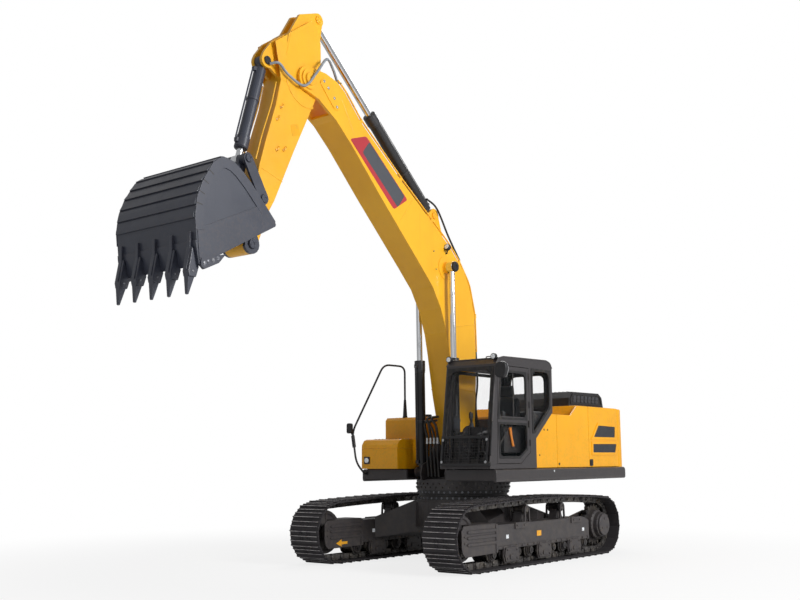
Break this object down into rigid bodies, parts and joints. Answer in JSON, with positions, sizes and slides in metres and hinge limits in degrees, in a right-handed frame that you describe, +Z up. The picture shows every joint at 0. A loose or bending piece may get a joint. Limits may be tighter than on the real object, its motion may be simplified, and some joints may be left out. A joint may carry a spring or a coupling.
{
  "type": "crawler excavator",
  "caption": "Tracked excavator with a slewing house, raised boom, hanging arm and dumped toothed bucket; doors, hood and cylinders move.",
  "frame": {"origin": "middle of the base of the whole machine at rest, on the ground", "axes": "+Z up, the machine faces -Y, its cab is on +X"},
  "size_m": [3.19, 9.99, 8.1398],
  "materials": {
    "yellow_paint": "satin",
    "charcoal_paint": "satin",
    "black_paint": "satin",
    "seat_console": "matte",
    "track_steel": "worn",
    "bucket_steel": "satin",
    "chrome_rod": "polished",
    "engine_iron": "rough",
    "cab_glass": "clear",
    "seat_fabric": "woven"
  },
  "bodies": {
    "undercarriage": {"track_left": "track_steel", "track_frame_left": "charcoal_paint", "idler_left": "charcoal_paint", "final_drive_left": "charcoal_paint", "track_right": "track_steel", "track_frame_right": "charcoal_paint", "idler_right": "charcoal_paint", "final_drive_right": "charcoal_paint", "carbody": "black_paint", "slewing_ring": "black_paint"},
    "house": {"revolving_frame": "charcoal_paint", "side_skirt_left": "charcoal_paint", "side_skirt_right": "charcoal_paint", "counterweight": "yellow_paint", "engine_block": "engine_iron", "fuel_tank": "yellow_paint", "hydraulic_tank": "yellow_paint", "toolbox": "yellow_paint", "side_panel_left": "yellow_paint", "front_cover": "yellow_paint", "cab_shell": "charcoal_paint", "quarter_glass": "cab_glass", "right_glass": "cab_glass", "rear_glass": "cab_glass", "roof_glass": "cab_glass", "windscreen": "cab_glass", "operator_seat": "seat_fabric", "seat_console": "seat_console", "front_guard": "black_paint", "handrail": "black_paint"},
    "cab_door": {"cab_door": "charcoal_paint", "door_glass_upper": "cab_glass", "door_glass_lower": "cab_glass"},
    "radiator_door": {"radiator_door_left": "yellow_paint"},
    "engine_door_left": {"engine_door_left": "yellow_paint"},
    "pump_door": {"pump_door_right": "yellow_paint"},
    "engine_door_right": {"engine_door_right": "yellow_paint"},
    "engine_hood": {"engine_hood": "yellow_paint", "louvre_box": "black_paint"},
    "toolbox_lid": {"toolbox_lid": "yellow_paint"},
    "boom": {"boom": "yellow_paint"},
    "boom_barrels": {"boom_barrel_left": "black_paint", "boom_barrel_right": "black_paint"},
    "boom_rods": {"boom_rod_left": "chrome_rod", "boom_rod_right": "chrome_rod"},
    "arm": {"arm": "yellow_paint"},
    "arm_barrel": {"arm_barrel": "black_paint"},
    "arm_rod": {"arm_rod": "chrome_rod"},
    "bucket": {"bucket": "bucket_steel"},
    "bucket_barrel": {"bucket_barrel": "bucket_steel"},
    "bucket_rod": {"bucket_rod": "chrome_rod"},
    "rocker": {"rocker_left": "bucket_steel", "rocker_right": "bucket_steel"},
    "bucket_link": {"bucket_link": "bucket_steel"}
  },
  "joints": [
    {"name": "swing", "type": "hinge", "parent": "undercarriage", "child": "house", "pos_m": [0, 1.515, 1.11], "axis": [0, 0, 1], "continuous": true},
    {"name": "boom_lift", "type": "hinge", "parent": "house", "child": "boom", "pos_m": [0, 1.365, 1.95], "axis": [-1, 0, 0], "range_deg": [-85, 12]},
    {"name": "boom_barrel_swing", "type": "hinge", "parent": "house", "child": "boom_barrels", "pos_m": [0, 0.835, 1.4], "axis": [-1, 0, 0], "range_deg": [-82, 13]},
    {"name": "boom_rod_slide", "type": "slide", "parent": "boom_barrels", "child": "boom_rods", "axis": [0, -0.012, 0.9999], "range_m": [-1.05, 0.16]},
    {"name": "arm_swing", "type": "hinge", "parent": "boom", "child": "arm", "pos_m": [0, -2.491, 6.998], "axis": [1, 0, 0], "range_deg": [-76, 12]},
    {"name": "arm_barrel_swing", "type": "hinge", "parent": "boom", "child": "arm_barrel", "pos_m": [0, 0.665, 5.6], "axis": [1, 0, 0], "range_deg": [-2, 5]},
    {"name": "arm_rod_slide", "type": "slide", "parent": "arm_barrel", "child": "arm_rod", "axis": [0, -0.7597, 0.6502], "range_m": [-1.31, 0.21]},
    {"name": "bucket_swing", "type": "hinge", "parent": "arm", "child": "bucket", "pos_m": [0, -3.552, 4.418], "axis": [1, 0, 0], "range_deg": [-3, 125]},
    {"name": "bucket_barrel_swing", "type": "hinge", "parent": "arm", "child": "bucket_barrel", "pos_m": [0, -3.209, 7.089], "axis": [1, 0, 0], "range_deg": [-1, 2]},
    {"name": "bucket_rod_slide", "type": "slide", "parent": "bucket_barrel", "child": "bucket_rod", "axis": [0, -0.2664, -0.9639], "range_m": [-0.03, 1]},
    {"name": "rocker_swing", "type": "hinge", "parent": "arm", "child": "rocker", "pos_m": [0, -3.336, 5.073], "axis": [1, 0, 0], "range_deg": [-4, 113]},
    {"name": "bucket_link_swing", "type": "hinge", "parent": "bucket", "child": "bucket_link", "pos_m": [0, -3.755, 4.91], "axis": [1, 0, 0], "range_deg": [-126, 4]},
    {"name": "cab_door_hinge", "type": "hinge", "parent": "house", "child": "cab_door", "pos_m": [1.378, 1.432, 2.2], "axis": [0, 0, 1], "range_deg": [0, 165]},
    {"name": "radiator_door_hinge", "type": "hinge", "parent": "house", "child": "radiator_door", "pos_m": [1.336, 3.453, 1.9], "axis": [0, 0, 1], "range_deg": [0, 95]},
    {"name": "engine_door_left_hinge", "type": "hinge", "parent": "house", "child": "engine_door_left", "pos_m": [1.336, 4.566, 1.9], "axis": [0, 0, 1], "range_deg": [0, 95]},
    {"name": "pump_door_hinge", "type": "hinge", "parent": "house", "child": "pump_door", "pos_m": [-1.336, 3.453, 1.9], "axis": [0, 0, -1], "range_deg": [0, 95]},
    {"name": "engine_door_right_hinge", "type": "hinge", "parent": "house", "child": "engine_door_right", "pos_m": [-1.336, 4.566, 1.9], "axis": [0, 0, -1], "range_deg": [0, 95]},
    {"name": "engine_hood_hinge", "type": "hinge", "parent": "house", "child": "engine_hood", "pos_m": [0, 3.015, 2.324], "axis": [1, 0, 0], "range_deg": [0, 55]},
    {"name": "toolbox_lid_hinge", "type": "hinge", "parent": "house", "child": "toolbox_lid", "pos_m": [-0.945, 1.09, 1.94], "axis": [-1, 0, 0], "range_deg": [0, 80]}
  ],
  "couplings": [
    {"joint": "boom_barrel_swing", "follows": "boom_lift", "ratio": 0.95},
    {"joint": "boom_rod_slide", "follows": "boom_lift", "m_per_rad": 0.69},
    {"joint": "arm_barrel_swing", "follows": "arm_swing", "ratio": -0.05},
    {"joint": "arm_rod_slide", "follows": "arm_swing", "m_per_rad": 0.947},
    {"joint": "bucket_barrel_swing", "follows": "bucket_swing", "ratio": 0.01},
    {"joint": "bucket_rod_slide", "follows": "bucket_swing", "m_per_rad": 0.45},
    {"joint": "rocker_swing", "follows": "bucket_swing", "ratio": 0.89},
    {"joint": "bucket_link_swing", "follows": "bucket_swing", "ratio": -1}
  ]
}
